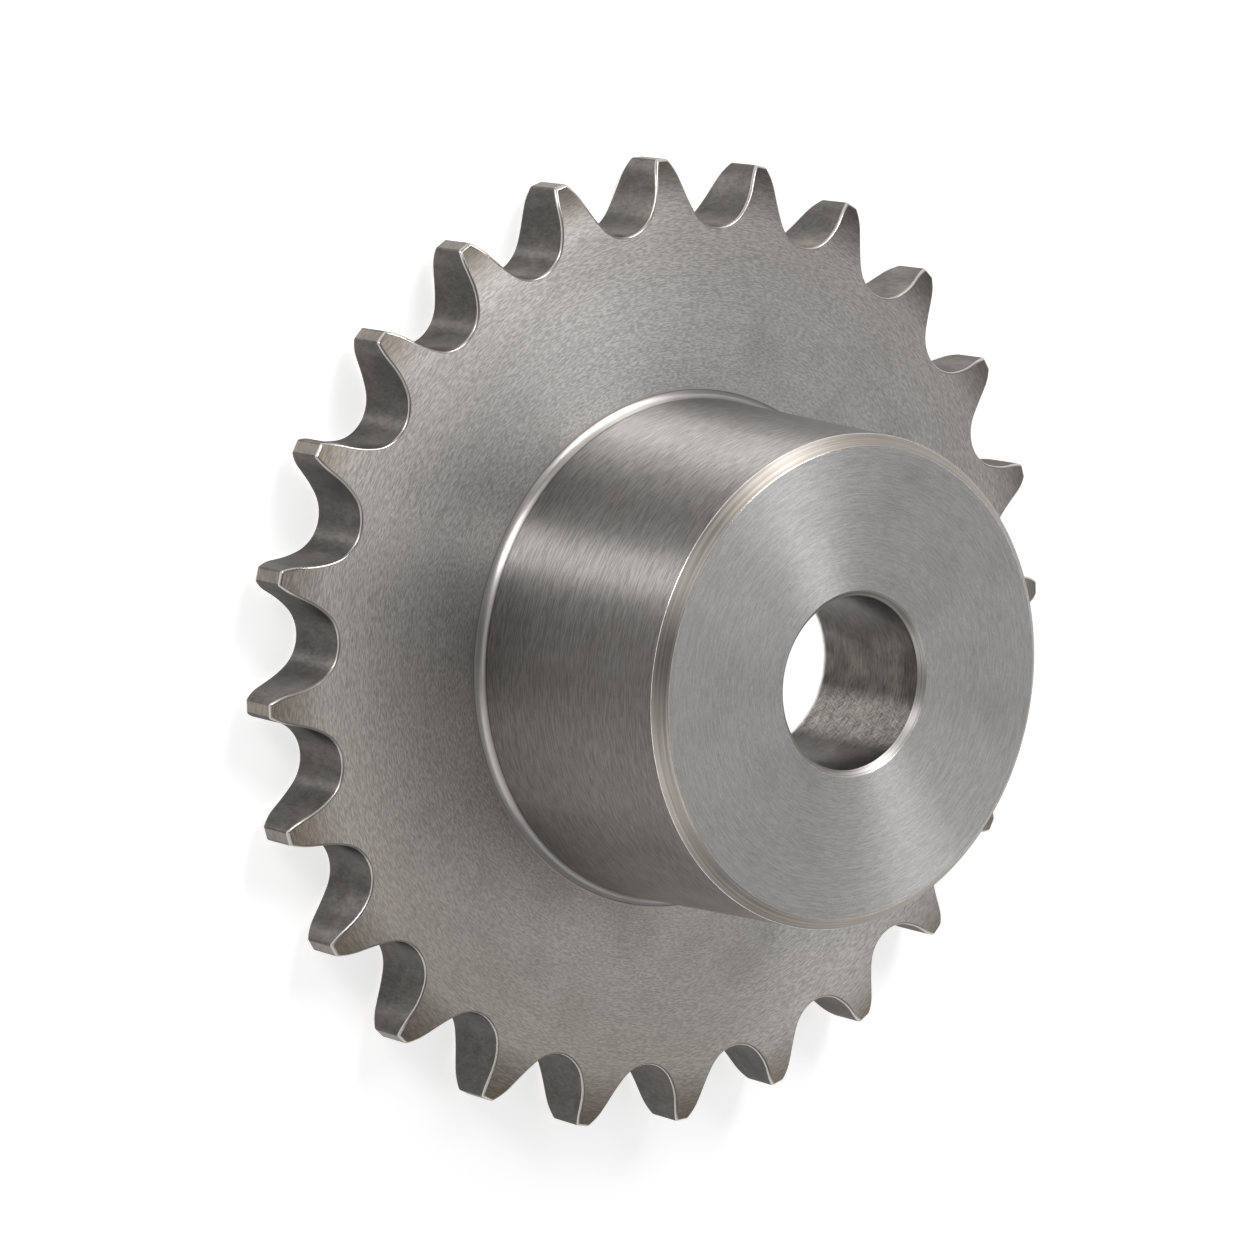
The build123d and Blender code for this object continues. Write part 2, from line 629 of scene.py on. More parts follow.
@dataclass
class SkinBuilder:
    """Joins rings into one closed skin, with a zone for each face.

    Attributes:
        zones: The zones in the order of their materials.
        points: The points of each ring so far.
        normals: The normals of each ring so far.
        faces: The faces so far, by the numbers of their points.
        face_zones: The number of each face's zone.
        count: How many points there are so far.
    """

    zones: list[Zone] = field(default_factory=lambda: list(Zone))
    points: list[np.ndarray] = field(default_factory=list)
    normals: list[np.ndarray] = field(default_factory=list)
    faces: list[tuple[int, ...]] = field(default_factory=list)
    face_zones: list[int] = field(default_factory=list)
    count: int = 0

    def _add(self, ring: Ring) -> np.ndarray:
        """Adds a ring's points.

        Args:
            ring: The ring.

        Returns:
            The numbers of the points.
        """
        self.points.append(ring.points)
        self.normals.append(ring.normals)
        first = self.count
        self.count += len(ring.points)
        return np.arange(first, self.count)

    def join(self, rings: list[Ring], on_land: np.ndarray) -> None:
        """Joins each ring to the next, and the last to the first.

        Args:
            rings: The rings in order round the section.
            on_land: For each step of a toothed ring, whether it crosses a tip land.
        """
        numbers = [self._add(ring) for ring in rings]
        for ring, here, there in zip(rings, numbers, numbers[1:] + numbers[:1]):
            zone = self.zones.index(ring.zone)
            land = self.zones.index(ring.land_zone) if ring.land_zone else zone
            if len(here) == len(there):
                self._quads(here, there, zone, land, on_land)
            elif len(here) > len(there):
                self._step_down(here, there, zone, False)
            else:
                self._step_down(there, here, zone, True)

    def _quads(self, here: np.ndarray, there: np.ndarray, zone: int, land: int, on_land: np.ndarray) -> None:
        """Joins two rings of as many points.

        Args:
            here: Numbers of the one ring's points.
            there: Numbers of the next ring's points.
            zone: Number of the zone of the band between them.
            land: Number of its zone across a tip land.
            on_land: For each step of a toothed ring, whether it crosses a tip land.
        """
        size = len(here)
        for i in range(size):
            j = (i + 1) % size
            self.faces.append((here[i], here[j], there[j], there[i]))
            self.face_zones.append(land if len(on_land) == size and on_land[i] else zone)

    def _step_down(self, fine: np.ndarray, coarse: np.ndarray, zone: int, flipped: bool) -> None:
        """Joins a fine ring to one with fewer points, by a fan at each of the coarse points.

        Args:
            fine: Numbers of the fine ring's points.
            coarse: Numbers of the coarse ring's points.
            zone: Number of the zone of the band between them.
            flipped: Whether the coarse ring comes first.
        """
        size, per_step = len(fine), len(fine) / len(coarse)
        for i, here in enumerate(coarse):
            after = coarse[(i + 1) % len(coarse)]
            first, last = round(i * per_step), round((i + 1) * per_step)
            middle = (first + last) // 2
            fan = [(fine[k], fine[(k + 1) % size], here) for k in range(first, middle)]
            fan.append((fine[middle % size], after, here))
            fan += [(fine[k], fine[(k + 1) % size], after) for k in range(middle, last)]
            self.faces.extend(face[::-1] if flipped else face for face in fan)
            self.face_zones.extend([zone] * len(fan))

    def mesh(self, name: str) -> bpy.types.Mesh:
        """Makes the skin's mesh, shaded by the true normals.

        Args:
            name: The mesh's name.

        Returns:
            The mesh, in metres.
        """
        mesh = bpy.data.meshes.new(name)
        points = np.vstack(self.points) * MM
        mesh.from_pydata(points.tolist(), [], [tuple(int(k) for k in face) for face in self.faces])
        mesh.polygons.foreach_set("material_index", np.array(self.face_zones, dtype=np.int32))
        mesh.polygons.foreach_set("use_smooth", np.ones(len(self.faces), dtype=bool))
        mesh.update()
        mesh.normals_split_custom_set_from_vertices(np.vstack(self.normals).tolist())
        return mesh


def rgba(colour: Colour) -> tuple[float, float, float, float]:
    """A colour with full alpha."""
    return (*colour, 1.0)


class Graph:
    """A node tree of a material or world, with short ways to add to it.

    Attributes:
        tree: The node tree.
    """

    def __init__(self, tree: bpy.types.NodeTree) -> None:
        """Clears the tree and keeps it."""
        tree.nodes.clear()
        self.tree = tree

    def add(self, kind: str, **settings: str) -> bpy.types.Node:
        """Adds a node.

        Args:
            kind: The node's type, without the word ShaderNode.
            settings: Attributes to set on it.

        Returns:
            The node.
        """
        node = self.tree.nodes.new("ShaderNode" + kind)
        for key, value in settings.items():
            setattr(node, key, value)
        return node

    def plug(self, value: Value, socket: Socket) -> None:
        """Links a socket, or sets a plain value.

        Args:
            value: The socket or the value.
            socket: The socket that takes it.
        """
        if isinstance(value, Socket):
            self.tree.links.new(value, socket)
        else:
            socket.default_value = value

    def maths(self, operation: str, *values: Value) -> Socket:
        """Adds a Math node.

        Args:
            operation: What it works out.
            values: What it works with, in order.

        Returns:
            The result.
        """
        node = self.add("Math", operation=operation)
        for value, socket in zip(values, node.inputs):
            self.plug(value, socket)
        return node.outputs[0]

    def vector(self, operation: str, *values: Value) -> Socket:
        """Adds a Vector Math node.

        Args:
            operation: What it works out.
            values: What it works with, in order.

        Returns:
            The result.
        """
        node = self.add("VectorMath", operation=operation)
        for value, socket in zip(values, node.inputs):
            self.plug(value, socket)
        return node.outputs["Value" if operation in ("LENGTH", "DOT_PRODUCT") else "Vector"]

    def scaled(self, vector: Value, factor: Value) -> Socket:
        """Multiplies a vector by a number.

        Args:
            vector: The vector.
            factor: The number.

        Returns:
            The product.
        """
        node = self.add("VectorMath", operation="SCALE")
        self.plug(vector, node.inputs[0])
        self.plug(factor, node.inputs["Scale"])
        return node.outputs["Vector"]

    def noise(self, vector: Value, detail: float, roughness: float = 0.5) -> Socket:
        """Adds noise of scale 1.

        Args:
            vector: Where the noise is read.
            detail: Octaves of the noise.
            roughness: How strong its finer octaves are.

        Returns:
            The noise, about 0 to 1.
        """
        node = self.add("TexNoise")
        node.inputs["Scale"].default_value = 1.0
        node.inputs["Detail"].default_value = detail
        node.inputs["Roughness"].default_value = roughness
        self.plug(vector, node.inputs["Vector"])
        return node.outputs["Fac"]

    def span(
        self, value: Value, low: float, high: float, to_low: float, to_high: float, smooth: bool = False
    ) -> Socket:
        """Moves a value from one range to another.

        Args:
            value: The value.
            low: Start of its range.
            high: End of its range.
            to_low: What the start becomes.
            to_high: What the end becomes.
            smooth: Whether the change eases in and out.

        Returns:
            The moved value, held at the ends.
        """
        node = self.add("MapRange", interpolation_type="SMOOTHSTEP" if smooth else "LINEAR")
        for number, socket in zip((value, low, high, to_low, to_high), node.inputs):
            self.plug(number, socket)
        return node.outputs[0]

    def mixed(self, share: Value, first: Value, second: Value) -> Socket:
        """Mixes two colours. The node's sockets for colours are its last.

        Args:
            share: Share of the second colour.
            first: The first colour.
            second: The second colour.

        Returns:
            The mixed colour.
        """
        node = self.add("Mix", data_type="RGBA")
        for value, socket in zip((share, first, second), (node.inputs[0], node.inputs[6], node.inputs[7])):
            self.plug(value, socket)
        return node.outputs[2]


@dataclass(frozen=True)
class PaintedSideLight:
    """Painted light or shade on one side of a surface.

    Attributes:
        side: Direction of its middle from the bore's axis, in degrees from +X.
        edge: Cosine of the angle from there to where it ends.
        lift: How much lighter it makes the steel, or darker where it is negative.
    """

    side: float
    edge: float
    lift: float


class SteelGraph(Graph):
    """The node tree of a steel surface, which knows where each point of the surface lies.

    Attributes:
        place: The point, in millimetres.
        radius: Its distance from the bore's axis.
        height: Its height above the back face.
        outward: The way from the axis to it.
    """

    def __init__(self, tree: bpy.types.NodeTree) -> None:
        """Clears the tree and works out the point's place.

        Args:
            tree: The material's node tree.
        """
        super().__init__(tree)
        self.place = self.scaled(self.add("TexCoord").outputs["Object"], 1 / MM)
        parts = self.add("SeparateXYZ")
        self.plug(self.place, parts.inputs[0])
        flat = self.vector("MULTIPLY", self.place, (1.0, 1.0, 0.0))
        self.height = parts.outputs[2]
        self.radius = self.vector("LENGTH", flat)
        self.outward = self.vector("NORMALIZE", flat)

    def on_side(self, side: float, edge: float) -> Socket:
        """How far the point lies on a side.

        Args:
            side: Direction of the side's middle, in degrees from +X.
            edge: Cosine of the angle from there to where the side ends.

        Returns:
            From 0 at the side's end to 1 at its middle.
        """
        way = (*direction(math.radians(side)), 0.0)
        return self.span(self.vector("DOT_PRODUCT", self.outward, way), edge, 1.0, 0.0, 1.0, smooth=True)

    def painted_side(self, side_paint: PaintedSideLight, share: Value = 1.0) -> Socket:
        """How much lighter a painted light makes the point, or darker a painted shade, where a share says
        how far it takes there.
        """
        taken = self.maths("MULTIPLY", self.on_side(side_paint.side, side_paint.edge), share)
        return self.maths("MULTIPLY", taken, side_paint.lift)


@dataclass(frozen=True)
class Marks:
    """One set of tool marks.

    Attributes:
        length: Usual length along the cut, in millimetres.
        width: Usual width across the cut, in millimetres.
        depth: Depth in millimetres.
        tone: How much the marks lighten and darken the steel.
        softness: How gradually they do so, where less gives crisper marks.
        detail: Octaves of the noise.
    """

    length: float
    width: float
    depth: float
    tone: float
    softness: float = 0.11
    detail: float = 2.0


@dataclass(frozen=True)
class SteelFinish:
    """A machined steel surface.

    Attributes:
        colour: The steel's colour.
        roughness: Roughness of the surface.
        lay: Which way its tool marks are spaced.
        marks: The sets of tool marks.
        reach: A usual radius of the surface, in millimetres, which sets how long the marks come out.
        brushed: How strongly the marks stretch the reflections, 0 to 1.
        mottle: How much broad patches lighten and darken the steel.
        mottle_size: Size of those patches in millimetres.
        uneven: How much the roughness varies.
        stain: Colour that the patches lean to.
        warmth: How far one side is tinted warmer, 0 to 1.
        warmth_side: Direction of that side, in degrees from +X.
        warmth_edge: Cosine of the angle from there to where it ends.
        warmth_tint: Tint of the steel at the middle of that side.
    """

    colour: Colour
    roughness: float
    lay: MarkLay
    marks: tuple[Marks, ...]
    reach: float = 50.0
    brushed: float = 0.0
    mottle: float = 0.06
    mottle_size: float = 9.0
    uneven: float = 0.08
    stain: Colour = (0.30, 0.26, 0.22)
    warmth: float = 0.0
    warmth_side: float = -14.0
    warmth_edge: float = 0.25
    warmth_tint: Colour = (0.99, 0.95, 0.90)

    def material(self, name: str) -> bpy.types.Material:
        """Makes the finish's material.

        Args:
            name: The material's name.

        Returns:
            The material.
        """
        material = bpy.data.materials.new(name)
        material.use_nodes = True
        graph = SteelGraph(material.node_tree)
        across = self._across(graph)
        streaks = [self._streak(graph, across, marks) for marks in self.marks]
        patches = graph.noise(graph.scaled(graph.place, 1 / self.mottle_size), PATCH_DETAIL)
        kept = self.kept(graph)

        shader = graph.add("BsdfPrincipled")
        shader.inputs["Metallic"].default_value = 1.0
        graph.plug(self._coloured(graph, streaks, patches, kept), shader.inputs["Base Color"])
        rough = self._rough(graph, streaks, patches)
        graph.plug(self.roughened(graph, rough), shader.inputs["Roughness"])
        if self.brushed:
            shader.inputs["Anisotropic"].default_value = self.brushed
            shader.inputs["Anisotropic Rotation"].default_value = ACROSS
            graph.plug(self.tangent(graph), shader.inputs["Tangent"])
        if streaks:
            graph.plug(self._relief(graph, streaks, kept), shader.inputs["Normal"])
        graph.plug(shader.outputs[0], graph.add("OutputMaterial").inputs["Surface"])
        return material

    def _across(self, graph: SteelGraph) -> Socket:
        """Distance across the tool marks.

        Args:
            graph: The material's nodes.

        Returns:
            The distance in millimetres.
        """
        by_radius, by_height = self.lay.value
        along_radius = graph.maths("MULTIPLY", graph.radius, by_radius)
        return graph.maths("ADD", along_radius, graph.maths("MULTIPLY", graph.height, by_height))

    def _streak(self, graph: SteelGraph, across: Socket, marks: Marks) -> Socket:
        """Noise drawn out along the cut.

        Args:
            graph: The material's nodes.
            across: Distance across the tool marks.
            marks: The set of marks.

        Returns:
            The noise, about 0 to 1.
        """
        lift = graph.add("CombineXYZ")
        graph.plug(graph.maths("MULTIPLY", across, 1 / marks.width), lift.inputs[2])
        way = graph.scaled(graph.outward, self.reach / marks.length)
        return graph.noise(graph.vector("ADD", way, lift.outputs[0]), marks.detail, MARK_ROUGHNESS)

    def _coloured(self, graph: SteelGraph, streaks: list[Socket], patches: Socket, kept: Value) -> Socket:
        """The steel's colour with its patches, its dressing with painted light and shade, a warmer side and
        its marks.

        Args:
            graph: The material's nodes.
            streaks: Noise of each set of marks.
            patches: Noise of the broad patches.
            kept: How much of the marks is there.

        Returns:
            The colour.
        """
        tone: Value = 1.0
        for marks, streak in zip(self.marks, streaks):
            lift = graph.span(streak, 0.5 - marks.softness, 0.5 + marks.softness, -marks.tone, marks.tone)
            tone = graph.maths("MULTIPLY_ADD", lift, kept, tone)
        tone = graph.maths("ADD", tone, graph.span(patches, *PATCH_RANGE, -self.mottle, self.mottle))
        stained = graph.span(patches, *STAIN_RANGE, 0.0, STAIN_PER_MOTTLE * self.mottle)
        steel = self.dressed(graph, graph.mixed(stained, rgba(self.colour), rgba(self.stain)))
        # A warmer tint towards one side
        if self.warmth:
            share = graph.maths("MULTIPLY", graph.on_side(self.warmth_side, self.warmth_edge), self.warmth)
            steel = graph.vector("MULTIPLY", steel, graph.mixed(share, rgba(WHITE), rgba(self.warmth_tint)))
        return graph.scaled(steel, tone)

    def _rough(self, graph: SteelGraph, streaks: list[Socket], patches: Socket) -> Socket:
        """The roughness, which varies with the patches and the first set of marks.

        Args:
            graph: The material's nodes.
            streaks: Noise of each set of marks.
            patches: Noise of the broad patches.

        Returns:
            The roughness.
        """
        half = self.uneven / 2
        rough = graph.span(patches, *PATCH_RANGE, self.roughness - half, self.roughness + half)
        if streaks:
            rough = graph.maths("ADD", rough, graph.span(streaks[0], *STREAK_RANGE, -half, half))
        return rough

    def _relief(self, graph: SteelGraph, streaks: list[Socket], kept: Value) -> Socket:
        """The relief of the marks, one bump on another.

        Args:
            graph: The material's nodes.
            streaks: Noise of each set of marks.
            kept: How much of the marks is there.

        Returns:
            The normal that their depths give.
        """
        relief = graph.add("NewGeometry").outputs["Normal"]
        for marks, streak in zip(self.marks, streaks):
            bump = graph.add("Bump")
            graph.plug(kept, bump.inputs["Strength"])
            bump.inputs["Distance"].default_value = marks.depth * MM
            graph.plug(streak, bump.inputs["Height"])
            graph.plug(relief, bump.inputs["Normal"])
            relief = bump.outputs["Normal"]
        return relief

    def tangent(self, graph: SteelGraph) -> Socket:
        """The way that the tool marks run, which is round the bore."""
        return graph.vector("NORMALIZE", graph.vector("CROSS_PRODUCT", (0.0, 0.0, 1.0), graph.place))

    def kept(self, graph: SteelGraph) -> Value:
        """How much of the marks is there. A plain finish keeps them all."""
        return 1.0

    def roughened(self, graph: SteelGraph, rough: Socket) -> Socket:
        """The roughness with what is special to this surface. A plain finish changes nothing."""
        return rough

    def dressed(self, graph: SteelGraph, steel: Socket) -> Socket:
        """The steel's colour with what is special to this surface. A plain finish changes nothing."""
        return steel


@dataclass(frozen=True)
class ReliefFinish(SteelFinish):
    """A face of the plate, which changes towards the teeth, darkening there as painted shade, and has
    painted light on one side and painted shade on another.

    Attributes:
        blush_start: Radius at which the change begins.
        relief_start: Radius at which the blush is complete.
        relief_end: Radius at which the relief's colour is complete.
        blush: Colour of the zone before the teeth.
        shaded_relief_colour: Colour of the relieved sides, darker as a painted shade of their curve.
        tip_roughening: How many times rougher the steel is at the tips.
        painted_light: Where the blush is lightened, a painted light.
        painted_shade: Where the tips are darkened, a painted shade.
    """

    blush_start: float = 50.0
    relief_start: float = 68.0
    relief_end: float = 78.0
    blush: Colour = (0.62, 0.592, 0.568)
    shaded_relief_colour: Colour = (0.35, 0.308, 0.27)
    tip_roughening: float = 1.8
    painted_light: PaintedSideLight = PaintedSideLight(side=-84.0, edge=0.55, lift=0.32)
    painted_shade: PaintedSideLight = PaintedSideLight(side=-169.0, edge=0.5, lift=-0.50)

    def roughened(self, graph: SteelGraph, rough: Socket) -> Socket:
        """Roughens the relieved sides towards the tips."""
        more = graph.span(graph.radius, self.relief_start, self.relief_end, 1.0, self.tip_roughening)
        return graph.maths("MULTIPLY", rough, more)

    def dressed(self, graph: SteelGraph, steel: Socket) -> Socket:
        """Fades the steel through the blush to the relieved sides' darker colour, a painted shade, and
        paints light on one side and shade on another.

        Args:
            graph: The material's nodes.
            steel: The steel's colour so far.

        Returns:
            The dressed colour.
        """
        to_blush = graph.span(graph.radius, self.blush_start, self.relief_start, 0.0, 1.0, smooth=True)
        to_relief = graph.span(graph.radius, self.relief_start, self.relief_end, 0.0, 1.0, smooth=True)
        steel = graph.mixed(to_blush, steel, rgba(self.blush))
        # Painted shade: the relieved sides darken towards the tips
        steel = graph.mixed(to_relief, steel, rgba(self.shaded_relief_colour))
        # Painted light on one side of the blush, painted shade on the relieved tips of another side
        lift = graph.maths("ADD", graph.painted_side(self.painted_light, to_blush), graph.painted_side(self.painted_shade, to_relief))
        return graph.scaled(steel, graph.maths("ADD", lift, 1.0))


@dataclass(frozen=True)
class ChamferFinish(SteelFinish):
    """The chamfer at the hub's end.

    Attributes:
        painted_light: Where it is lightened, a painted light.
        painted_shade: Where it is darkened, a painted shade.
    """

    painted_light: PaintedSideLight = PaintedSideLight(side=-43.6, edge=0.80, lift=0.35)
    painted_shade: PaintedSideLight = PaintedSideLight(side=-91.0, edge=0.93, lift=-0.34)

    def dressed(self, graph: SteelGraph, steel: Socket) -> Socket:
        """Lightens the one side as painted light and darkens the other as painted shade."""
        # Painted light on one side of the chamfer, painted shade on another
        lift = graph.maths("ADD", graph.painted_side(self.painted_light), graph.painted_side(self.painted_shade))
        return graph.scaled(steel, graph.maths("ADD", lift, 1.0))


@dataclass(frozen=True)
class WallFinish(SteelFinish):
    """A wall between teeth, cut by a tool that followed the tooth's outline."""

    def tangent(self, graph: SteelGraph) -> Socket:
        """The way along the tooth's outline."""
        normal = graph.add("NewGeometry").outputs["Normal"]
        return graph.vector("NORMALIZE", graph.vector("CROSS_PRODUCT", (0.0, 0.0, 1.0), normal))

    def _streak(self, graph: SteelGraph, across: Socket, marks: Marks) -> Socket:
        """Noise drawn out along the bore's axis."""
        squeeze = (1 / marks.width, 1 / marks.width, 1 / marks.length)
        return graph.noise(graph.vector("MULTIPLY", graph.place, squeeze), marks.detail, MARK_ROUGHNESS)


@dataclass(frozen=True)
class FilletFinish(SteelFinish):
    """The fillet at the hub's foot, with a thin dark line along each side.

    Attributes:
        hub_line: Height of the line along the hub.
        hub_line_width: Half its width.
        hub_line_share: How fully it covers the steel at its middle.
        plate_line: Radius of the line along the plate.
        plate_line_width: Half its width.
        plate_line_share: How fully it covers the steel at its middle.
        line_colour: Colour of the lines.
    """

    hub_line: float = 13.3
    hub_line_width: float = 0.55
    hub_line_share: float = 0.9
    plate_line: float = 41.25
    plate_line_width: float = 0.16
    plate_line_share: float = 0.6
    line_colour: Colour = (0.10, 0.085, 0.07)

    def dressed(self, graph: SteelGraph, steel: Socket) -> Socket:
        """Draws both lines over the steel.

        Args:
            graph: The material's nodes.
            steel: The steel's colour so far.

        Returns:
            The dressed colour.
        """
        # Thin dark lines along both sides of the fillet
        off_hub = graph.maths("ABSOLUTE", graph.maths("SUBTRACT", graph.height, self.hub_line))
        off_plate = graph.maths("ABSOLUTE", graph.maths("SUBTRACT", graph.radius, self.plate_line))
        at_hub = graph.span(off_hub, 0.0, self.hub_line_width, self.hub_line_share, 0.0, smooth=True)
        at_plate = graph.span(off_plate, 0.0, self.plate_line_width, self.plate_line_share, 0.0, smooth=True)
        return graph.mixed(graph.maths("MAXIMUM", at_hub, at_plate), steel, rgba(self.line_colour))


@dataclass(frozen=True)
class BoreFinish(SteelFinish):
    """The bore's wall, tarnished at the hub's end and bright further in, with a scratched band lightened as
    a painted highlight.

    Attributes:
        bright_below: Height under which the wall is bright.
        tarnished_above: Height over which it is tarnished.
        bright: Colour of the bright wall.
        left_of_marks: How much of the marks and the roughness the bright wall has.
        scratched_highlight_side: Direction of the side that shafts have scratched, lightened there as a
            painted highlight, in degrees from +X.
        scratched_highlight_edge: Cosine of the angle from there to where the scratches and the painted
            highlight end.
        painted_side: Colour of the scratches there, far lighter than the wall as a painted highlight.
        scratch_leans: Slant of each set of scratches, in degrees from the way round the bore.
        scratch_length: Usual length of a scratch, in millimetres.
        scratch_width: Usual width of a scratch, in millimetres.
        scratch_detail: Octaves of the noise that scratches come from.
        scratch_range: Range of the noise over which a scratch comes up.
        scratch_shares: How fully the steel is scratched at the ends of that range.
    """

    bright_below: float = 30.0
    tarnished_above: float = 31.2
    bright: Colour = (0.97, 0.97, 0.97)
    left_of_marks: float = 0.15
    scratched_highlight_side: float = 73.0
    scratched_highlight_edge: float = 0.925
    painted_side: Colour = (0.42, 0.395, 0.365)
    scratch_leans: tuple[float, float] = (52.0, 112.0)
    scratch_length: float = 1.7
    scratch_width: float = 0.32
    scratch_detail: float = 2.0
    scratch_range: tuple[float, float] = (0.42, 0.70)
    scratch_shares: tuple[float, float] = (0.25, 0.9)

    def _from_bright(self, graph: SteelGraph, start: float) -> Socket:
        """A value that rises from a start in the bright wall to 1 in the tarnished one."""
        return graph.span(graph.height, self.bright_below, self.tarnished_above, start, 1.0, smooth=True)

    def kept(self, graph: SteelGraph) -> Value:
        """Fades the marks on the way in."""
        return self._from_bright(graph, self.left_of_marks)

    def roughened(self, graph: SteelGraph, rough: Socket) -> Socket:
        """Smooths the wall by as much as its marks fade."""
        return graph.maths("MULTIPLY", rough, self.kept(graph))

    def dressed(self, graph: SteelGraph, steel: Socket) -> Socket:
        """Scratches one side and lightens it there as a painted highlight, and fades the tarnish on the way
        in.

        Args:
            graph: The material's nodes.
            steel: The steel's colour so far.

        Returns:
            The dressed colour.
        """
        # Real scratches on one side, lightened far above the wall's colour as a painted highlight
        near = graph.on_side(self.scratched_highlight_side, self.scratched_highlight_edge)
        lit_scratches = graph.maths("MULTIPLY", near, self._scratches(graph))
        tarnished = graph.mixed(lit_scratches, steel, rgba(self.painted_side))
        return graph.mixed(self._from_bright(graph, 0.0), rgba(self.bright), tarnished)

    def _scratches(self, graph: SteelGraph) -> Socket:
        """Two crossing sets of scratches.

        Args:
            graph: The material's nodes.

        Returns:
            How fully each place is scratched.
        """
        out_x, out_y = direction(math.radians(self.scratched_highlight_side))
        made: list[Socket] = []
        for lean in self.scratch_leans:
            cos, sin = direction(math.radians(lean))
            along = np.array([-out_y * cos, out_x * cos, sin]) / self.scratch_length
            across = np.array([out_y * sin, -out_x * sin, cos]) / self.scratch_width
            lay = graph.add("CombineXYZ")
            graph.plug(graph.vector("DOT_PRODUCT", graph.place, tuple(along)), lay.inputs[0])
            graph.plug(graph.vector("DOT_PRODUCT", graph.place, tuple(across)), lay.inputs[1])
            graph.plug(lean, lay.inputs[2])
            streaks = graph.noise(lay.outputs[0], self.scratch_detail, MARK_ROUGHNESS)
            made.append(graph.span(streaks, *self.scratch_range, *self.scratch_shares))
        return graph.maths("MAXIMUM", *made)


def finishes() -> dict[Zone, SteelFinish]:
    """The finishes of the sprocket.

    Returns:
        The finish of each zone.
    """
    steel: Colour = (0.625, 0.617, 0.607)
    hub_steel: Colour = (0.288, 0.277, 0.267)
    line = Marks(length=22.0, width=0.22, depth=0.002, tone=0.045)
    dash = Marks(length=0.9, width=0.145, depth=0.004, tone=0.165, softness=0.12, detail=0.0)
    ridge = Marks(length=60.0, width=0.9, depth=0.010, tone=0.04)
    groove = Marks(length=40.0, width=0.36, depth=0.012, tone=0.20)
    thread = Marks(length=24.0, width=0.26, depth=0.004, tone=0.2, softness=0.07)
    nick = Marks(length=2.2, width=0.17, depth=0.004, tone=0.19, softness=0.12, detail=0.0)
    faint = Marks(length=1.8, width=0.15, depth=0.002, tone=0.08, softness=0.12, detail=0.0)
    grain = Marks(length=0.4, width=0.17, depth=0.002, tone=0.06)
    speck = Marks(length=1.1, width=0.5, depth=0.004, tone=0.12)
    smudge = Marks(length=2.4, width=1.6, depth=0.0, tone=0.12, softness=0.16)
    face, side, slope = MarkLay.FACE, MarkLay.SIDE, MarkLay.OUTER_SLOPE
    return {
        Zone.PLATE_FACE: ReliefFinish(
            steel, 0.42, face, (dash, grain, line), reach=55.0, brushed=0.7, mottle=0.03, warmth=1.0
        ),
        Zone.TOOTH_EDGE: SteelFinish((0.49, 0.465, 0.435), 0.29, face, (), reach=70.0),
        Zone.GAP_WALL: WallFinish(
            (0.14, 0.133, 0.125), 0.5, side, (speck, smudge), reach=70.0, brushed=0.9, mottle=0.05
        ),
        Zone.TIP_LAND: SteelFinish((0.21, 0.19, 0.165), 0.4, side, (grain, speck), reach=77.0),
        Zone.FOOT_FILLET: FilletFinish((0.58, 0.56, 0.54), 0.37, slope, (line,), reach=41.0, brushed=0.6),
        Zone.HUB_SIDE: SteelFinish(
            hub_steel, 0.50, side, (nick, line, grain), reach=39.0, brushed=1.0, mottle=0.04,
            mottle_size=14.0, warmth=1.0,
        ),
        Zone.HUB_CHAMFER: ChamferFinish(
            (0.40, 0.37, 0.335), 0.45, slope, (groove, line), reach=37.0, brushed=0.6
        ),
        Zone.TURNED_EDGE: SteelFinish((0.78, 0.76, 0.73), 0.2, slope, (speck,), reach=37.0),
        Zone.END_FACE: SteelFinish(
            steel, 0.44, face, (line, faint, grain), reach=26.0, brushed=0.8, mottle=0.025
        ),
        Zone.BORE_CHAMFER: SteelFinish(
            (0.54, 0.52, 0.495), 0.47, MarkLay.BORE_SLOPE, (thread,), reach=14.0, brushed=0.5
        ),
        Zone.BORE_WALL: BoreFinish((0.08, 0.073, 0.066), 0.34, side, (nick, speck, smudge), reach=13.5),
        Zone.BACK_FACE: ReliefFinish(
            steel, 0.42, face, (line, dash, ridge), reach=45.0, brushed=0.7, mottle=0.03, warmth=1.0
        ),
    }


@dataclass(frozen=True)
class SprocketBody:
    """The whole sprocket, one closed piece of steel.

    Attributes:
        plate: The toothed plate.
        hub: The hub on it, with the bore.
    """

    plate: ToothedPlate
    hub: TurnedHub

    def build(self) -> bpy.types.Object:
        """Builds the piece, dresses it and seats it in the frame.

        Returns:
            The piece.
        """
        _, _, on_land = self.plate.teeth.outline()
        plate_rings = self.plate.rings()
        hub_rings = self.hub.rings(bearing(plate_rings[0].points[0]))
        skin = SkinBuilder()
        skin.join(self._backwards(plate_rings) + hub_rings, on_land)
        mesh = skin.mesh("sprocket_body")
        looks = finishes()
        for zone in Zone:
            mesh.materials.append(looks[zone].material(zone.value))
        piece = bpy.data.objects.new("sprocket_body", mesh)
        bpy.context.scene.collection.objects.link(piece)
        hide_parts(NODE)
        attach(piece, "root")
        return piece

    @staticmethod
    def _backwards(rings: list[Ring]) -> list[Ring]:
        """Rings in reverse order.

        Args:
            rings: The rings.

        Returns:
            The same rings from the last, each with the zone of the band that then follows it.
        """
        order = rings[::-1]
        following = order[1:] + order[-1:]
        return [Ring(r.points, r.normals, after.zone, after.land_zone) for r, after in zip(order, following)]


